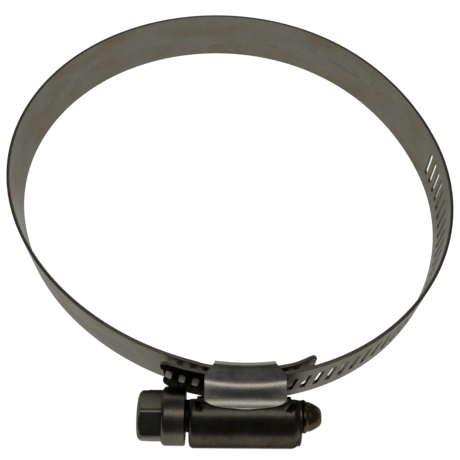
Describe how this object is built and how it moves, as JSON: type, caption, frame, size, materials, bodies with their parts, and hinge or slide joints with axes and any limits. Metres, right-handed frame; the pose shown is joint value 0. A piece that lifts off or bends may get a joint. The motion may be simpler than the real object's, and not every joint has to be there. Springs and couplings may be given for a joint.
{
  "type": "hose clamp",
  "caption": "Round worm-drive hose clamp: slotted steel band, pressed housing and saddle, hex-head tightening screw.",
  "frame": {"origin": "middle of the clamp's footprint, on the surface it lies flat on; the hose axis is about 3 mm to +X and 6 mm to +Y of it", "axes": "+Z along the hose axis, up as the clamp lies flat; the screw lies along X on the -Y side, hex head to -X"},
  "size_m": [0.0942, 0.1044, 0.0147],
  "materials": {
    "band": "satin",
    "saddle": "polished",
    "housing": "polished",
    "screw": "satin"
  },
  "bodies": {
    "housing": {"housing": "housing", "saddle": "saddle", "fixed_end": "band"},
    "screw": {"screw": "screw"},
    "band_01": {"band_01": "band"},
    "band_02": {"band_02": "band"},
    "band_03": {"band_03": "band"},
    "band_04": {"band_04": "band", "band_05": "band", "band_06": "band"},
    "band_07": {"band_07": "band"},
    "band_08": {"band_08": "band"},
    "band_09": {"band_09": "band"},
    "band_10": {"band_10": "band"},
    "band_11": {"band_11": "band", "band_12": "band", "band_13": "band"},
    "band_14": {"band_14": "band"},
    "band_15": {"band_15": "band", "slotted_01": "band"},
    "slotted_02": {"slotted_02": "band", "slotted_03": "band"},
    "slotted_04": {"slotted_04": "band", "slotted_05": "band", "slotted_06": "band"},
    "slotted_07": {"slotted_07": "band", "slotted_08": "band", "slotted_09": "band", "slotted_10": "band", "slotted_11": "band", "slotted_12": "band"}
  },
  "joints": [
    {"name": "screw_turn", "type": "hinge", "parent": "housing", "child": "screw", "pos_m": [0.00308, -0.04668, 0.00737], "axis": [1, 0, 0], "range_deg": [0, 8640]},
    {"name": "flex_band_01", "type": "hinge", "parent": "housing", "child": "band_01", "pos_m": [-0.00592, -0.03928, 0.00737], "axis": [0, 0, 1], "range_deg": [-12.28, 0.05]},
    {"name": "flex_band_02", "type": "hinge", "parent": "band_01", "child": "band_02", "pos_m": [-0.01867, -0.03437, 0.00737], "axis": [0, 0, 1], "range_deg": [-6.49, 0.05]},
    {"name": "flex_band_03", "type": "hinge", "parent": "band_02", "child": "band_03", "pos_m": [-0.02989, -0.02658, 0.00737], "axis": [0, 0, 1], "range_deg": [-2.39, 0.05]},
    {"name": "flex_band_04", "type": "hinge", "parent": "band_03", "child": "band_04", "pos_m": [-0.03889, -0.0163, 0.00737], "axis": [0, 0, 1], "range_deg": [-2.43, 0.05]},
    {"name": "flex_band_07", "type": "hinge", "parent": "band_04", "child": "band_07", "pos_m": [-0.04437, 0.0229, 0.00737], "axis": [0, 0, 1], "range_deg": [-6.48, 0.05]},
    {"name": "flex_band_08", "type": "hinge", "parent": "band_07", "child": "band_08", "pos_m": [-0.03778, 0.03483, 0.00737], "axis": [0, 0, 1], "range_deg": [-7.4, 0.05]},
    {"name": "flex_band_09", "type": "hinge", "parent": "band_08", "child": "band_09", "pos_m": [-0.02776, 0.04409, 0.00737], "axis": [0, 0, 1], "range_deg": [-8.29, 0.05]},
    {"name": "flex_band_10", "type": "hinge", "parent": "band_09", "child": "band_10", "pos_m": [-0.01542, 0.0499, 0.00737], "axis": [0, 0, 1], "range_deg": [-5.41, 0.05]},
    {"name": "flex_band_11", "type": "hinge", "parent": "band_10", "child": "band_11", "pos_m": [-0.00192, 0.0519, 0.00737], "axis": [0, 0, 1], "range_deg": [-5.13, 0.05]},
    {"name": "flex_band_14", "type": "hinge", "parent": "band_11", "child": "band_14", "pos_m": [0.0342, 0.03523, 0.00737], "axis": [0, 0, 1], "range_deg": [-2.93, 0.05]},
    {"name": "flex_band_15", "type": "hinge", "parent": "band_14", "child": "band_15", "pos_m": [0.04159, 0.02375, 0.00737], "axis": [0, 0, 1], "range_deg": [-4.93, 0.05]},
    {"name": "flex_slotted_02", "type": "hinge", "parent": "band_15", "child": "slotted_02", "pos_m": [0.04678, 0.00335, 0.00737], "axis": [0, 0, 1], "range_deg": [-14.88, 0.05]},
    {"name": "flex_slotted_04", "type": "hinge", "parent": "slotted_02", "child": "slotted_04", "pos_m": [0.04466, -0.01142, 0.00737], "axis": [0, 0, 1], "range_deg": [-4.24, 0.05]},
    {"name": "flex_slotted_07", "type": "hinge", "parent": "slotted_04", "child": "slotted_07", "pos_m": [0.03264, -0.03015, 0.00737], "axis": [0, 0, 1], "range_deg": [-7.61, 0.05]}
  ],
  "couplings": [
    {"joint": "flex_band_01", "follows": "screw_turn", "ratio": -0.001415},
    {"joint": "flex_band_02", "follows": "screw_turn", "ratio": -0.00074537},
    {"joint": "flex_band_03", "follows": "screw_turn", "ratio": -0.00027083},
    {"joint": "flex_band_04", "follows": "screw_turn", "ratio": -0.00027558},
    {"joint": "flex_band_07", "follows": "screw_turn", "ratio": -0.0007441},
    {"joint": "flex_band_08", "follows": "screw_turn", "ratio": -0.00085058},
    {"joint": "flex_band_09", "follows": "screw_turn", "ratio": -0.0009537},
    {"joint": "flex_band_10", "follows": "screw_turn", "ratio": -0.00062002},
    {"joint": "flex_band_11", "follows": "screw_turn", "ratio": -0.00058819},
    {"joint": "flex_band_14", "follows": "screw_turn", "ratio": -0.00033345},
    {"joint": "flex_band_15", "follows": "screw_turn", "ratio": -0.00056539},
    {"joint": "flex_slotted_02", "follows": "screw_turn", "ratio": -0.0017164},
    {"joint": "flex_slotted_04", "follows": "screw_turn", "ratio": -0.0004853},
    {"joint": "flex_slotted_07", "follows": "screw_turn", "ratio": -0.00087523}
  ]
}
